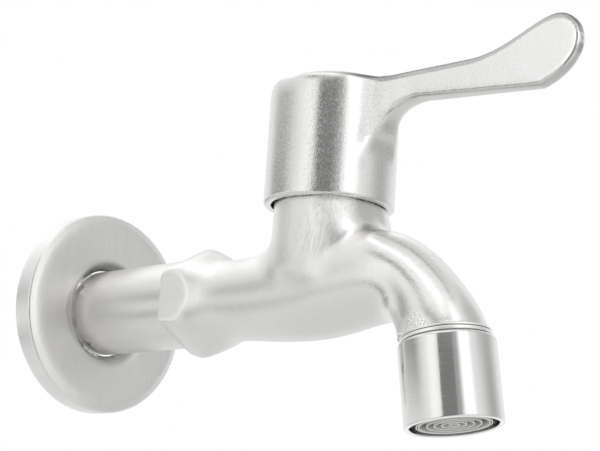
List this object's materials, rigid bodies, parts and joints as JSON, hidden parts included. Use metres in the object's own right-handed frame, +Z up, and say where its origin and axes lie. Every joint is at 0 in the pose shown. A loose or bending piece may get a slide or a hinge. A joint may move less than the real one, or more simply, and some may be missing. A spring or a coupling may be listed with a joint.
{
  "type": "washing machine tap",
  "caption": "Wall-mounted stainless bib tap: threaded inlet with a loose flange, wrench boss, quarter turn lever handle over a ceramic cartridge, and a down-turned spout with an aerator.",
  "frame": {"origin": "on the inlet axis in the plane of the wall", "axes": "+X out of the wall along the inlet, +Z up along the handle's axis, +Y to the right of someone who faces the wall"},
  "size_m": [0.1604, 0.0504, 0.0864],
  "materials": {
    "cast_stainless": "satin stainless casting, finely polished with faint scratches and blasted hollows",
    "handle_stainless": "satin stainless casting, fine vertical grain on the cap, matte lever",
    "pipe_stainless": "turned stainless pipe with a cut thread",
    "flange_stainless": "pressed stainless sheet with fine upright brushing",
    "shell_stainless": "turned stainless sleeve brushed round its axis",
    "grille_plastic": "grey moulded plastic",
    "inner_plastic": "natural moulded plastic",
    "brass": "machined brass",
    "white_ceramic": "lapped alumina ceramic",
    "black_rubber": "moulded rubber",
    "spring_steel": "bright steel",
    "woven_steel": "fine pierced stainless sheet"
  },
  "bodies": {
    "body": {"inlet_nipple": "pipe_stainless", "valve_body": "cast_stainless", "neck_gasket": "black_rubber", "cartridge_housing": "brass", "seat_seal": "black_rubber", "fixed_ceramic_disc": "white_ceramic", "aerator_shell": "shell_stainless", "aerator_washer": "black_rubber", "aerator_diffuser": "inner_plastic", "aerator_screens": "woven_steel", "aerator_cage": "inner_plastic", "aerator_grille": "grille_plastic"},
    "handle": {"handle": "handle_stainless", "handle_adaptor": "brass", "adaptor_screw": "spring_steel", "handle_grub_screw": "spring_steel", "spindle": "brass", "spindle_o_rings": "black_rubber", "spindle_circlip": "spring_steel", "glide_washer": "inner_plastic", "moving_ceramic_disc": "white_ceramic"},
    "flange": {"wall_flange": "flange_stainless"}
  },
  "joints": [
    {"name": "handle_turn", "type": "hinge", "parent": "body", "child": "handle", "pos_m": [0.07815, 0, 0], "axis": [0, 0, 1], "range_deg": [0, 90]},
    {"name": "flange_slide", "type": "slide", "parent": "body", "child": "flange", "axis": [1, 0, 0], "range_m": [0, 0.0275]}
  ]
}
